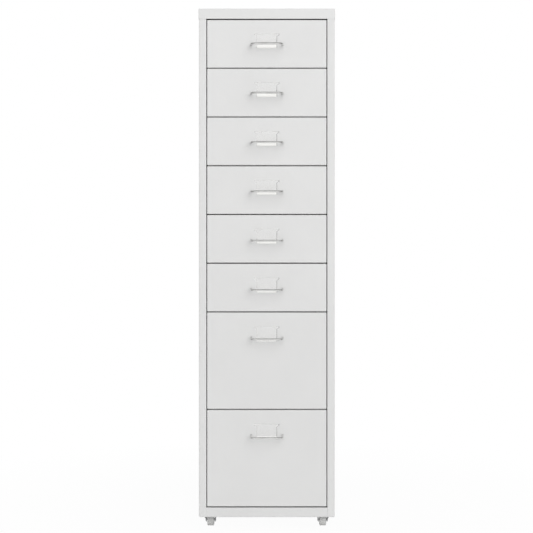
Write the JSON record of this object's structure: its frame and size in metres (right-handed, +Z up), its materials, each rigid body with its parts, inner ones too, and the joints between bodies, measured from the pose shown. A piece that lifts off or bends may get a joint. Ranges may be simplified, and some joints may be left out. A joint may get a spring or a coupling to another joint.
{
  "type": "drawer cabinet",
  "caption": "Tall narrow sheet-steel drawer cabinet on casters, small drawers over double-height ones, each with a wire pull and a clear label holder.",
  "frame": {"origin": "on the floor under the middle of the whole cabinet, pulls and back screws included", "axes": "+Z up, -Y out of the front, +X to the right seen from the front"},
  "size_m": [0.28, 0.4392, 1.075],
  "materials": {
    "white_coat": "fine-grained satin powder coat on steel sheet",
    "bright_wire": "bright nickel-chrome plate",
    "clear_plastic": "clear glossy plastic",
    "zinc_plate": "bright zinc plate",
    "bearing_steel": "polished steel",
    "wheel_plastic": "light grey moulded plastic"
  },
  "bodies": {
    "carcass": {"top_cap": "white_coat", "side_panel_left": "white_coat", "side_panel_right": "white_coat", "back_panel": "white_coat", "base_pan": "white_coat", "runners_left": "white_coat", "runners_right": "white_coat", "carcass_screws": "zinc_plate", "caster_plates": "zinc_plate", "caster_screws": "zinc_plate", "caster_nuts": "zinc_plate", "caster_kingpins": "zinc_plate", "swivel_balls": "bearing_steel"},
    "drawer_1": {"drawer_front_1": "white_coat", "drawer_tray_1": "white_coat", "drawer_pull_1": "bright_wire", "drawer_label_holder_1": "clear_plastic"},
    "drawer_2": {"drawer_front_2": "white_coat", "drawer_tray_2": "white_coat", "drawer_pull_2": "bright_wire", "drawer_label_holder_2": "clear_plastic"},
    "drawer_3": {"drawer_front_3": "white_coat", "drawer_tray_3": "white_coat", "drawer_pull_3": "bright_wire", "drawer_label_holder_3": "clear_plastic"},
    "drawer_4": {"drawer_front_4": "white_coat", "drawer_tray_4": "white_coat", "drawer_pull_4": "bright_wire", "drawer_label_holder_4": "clear_plastic"},
    "drawer_5": {"drawer_front_5": "white_coat", "drawer_tray_5": "white_coat", "drawer_pull_5": "bright_wire", "drawer_label_holder_5": "clear_plastic"},
    "drawer_6": {"drawer_front_6": "white_coat", "drawer_tray_6": "white_coat", "drawer_pull_6": "bright_wire", "drawer_label_holder_6": "clear_plastic"},
    "drawer_7": {"drawer_front_7": "white_coat", "drawer_tray_7": "white_coat", "drawer_pull_7": "bright_wire", "drawer_label_holder_7": "clear_plastic"},
    "drawer_8": {"drawer_front_8": "white_coat", "drawer_tray_8": "white_coat", "drawer_pull_8": "bright_wire", "drawer_label_holder_8": "clear_plastic"},
    "caster_swivel_front_left": {"caster_fork_front_left": "zinc_plate", "caster_axle_front_left": "zinc_plate"},
    "caster_wheel_front_left": {"caster_wheel_front_left": "wheel_plastic"},
    "caster_swivel_front_right": {"caster_fork_front_right": "zinc_plate", "caster_axle_front_right": "zinc_plate"},
    "caster_wheel_front_right": {"caster_wheel_front_right": "wheel_plastic"},
    "caster_swivel_rear_left": {"caster_fork_rear_left": "zinc_plate", "caster_axle_rear_left": "zinc_plate"},
    "caster_wheel_rear_left": {"caster_wheel_rear_left": "wheel_plastic"},
    "caster_swivel_rear_right": {"caster_fork_rear_right": "zinc_plate", "caster_axle_rear_right": "zinc_plate"},
    "caster_wheel_rear_right": {"caster_wheel_rear_right": "wheel_plastic"}
  },
  "joints": [
    {"name": "drawer_1_slide", "type": "slide", "parent": "carcass", "child": "drawer_1", "axis": [0, -1, 0], "range_m": [0, 0.29]},
    {"name": "drawer_2_slide", "type": "slide", "parent": "carcass", "child": "drawer_2", "axis": [0, -1, 0], "range_m": [0, 0.29]},
    {"name": "drawer_3_slide", "type": "slide", "parent": "carcass", "child": "drawer_3", "axis": [0, -1, 0], "range_m": [0, 0.29]},
    {"name": "drawer_4_slide", "type": "slide", "parent": "carcass", "child": "drawer_4", "axis": [0, -1, 0], "range_m": [0, 0.29]},
    {"name": "drawer_5_slide", "type": "slide", "parent": "carcass", "child": "drawer_5", "axis": [0, -1, 0], "range_m": [0, 0.29]},
    {"name": "drawer_6_slide", "type": "slide", "parent": "carcass", "child": "drawer_6", "axis": [0, -1, 0], "range_m": [0, 0.29]},
    {"name": "drawer_7_slide", "type": "slide", "parent": "carcass", "child": "drawer_7", "axis": [0, -1, 0], "range_m": [0, 0.29]},
    {"name": "drawer_8_slide", "type": "slide", "parent": "carcass", "child": "drawer_8", "axis": [0, -1, 0], "range_m": [0, 0.29]},
    {"name": "front_left_swivel", "type": "hinge", "parent": "carcass", "child": "caster_swivel_front_left", "pos_m": [-0.118, -0.1366, 0.0125], "axis": [0, 0, 1], "continuous": true},
    {"name": "front_left_roll", "type": "hinge", "parent": "caster_swivel_front_left", "child": "caster_wheel_front_left", "pos_m": [-0.118, -0.1256, 0.0125], "axis": [1, 0, 0], "continuous": true},
    {"name": "front_right_swivel", "type": "hinge", "parent": "carcass", "child": "caster_swivel_front_right", "pos_m": [0.118, -0.1366, 0.0125], "axis": [0, 0, 1], "continuous": true},
    {"name": "front_right_roll", "type": "hinge", "parent": "caster_swivel_front_right", "child": "caster_wheel_front_right", "pos_m": [0.118, -0.1256, 0.0125], "axis": [1, 0, 0], "continuous": true},
    {"name": "rear_left_swivel", "type": "hinge", "parent": "carcass", "child": "caster_swivel_rear_left", "pos_m": [-0.118, 0.161, 0.0125], "axis": [0, 0, 1], "continuous": true},
    {"name": "rear_left_roll", "type": "hinge", "parent": "caster_swivel_rear_left", "child": "caster_wheel_rear_left", "pos_m": [-0.118, 0.172, 0.0125], "axis": [1, 0, 0], "continuous": true},
    {"name": "rear_right_swivel", "type": "hinge", "parent": "carcass", "child": "caster_swivel_rear_right", "pos_m": [0.118, 0.161, 0.0125], "axis": [0, 0, 1], "continuous": true},
    {"name": "rear_right_roll", "type": "hinge", "parent": "caster_swivel_rear_right", "child": "caster_wheel_rear_right", "pos_m": [0.118, 0.172, 0.0125], "axis": [1, 0, 0], "continuous": true}
  ]
}
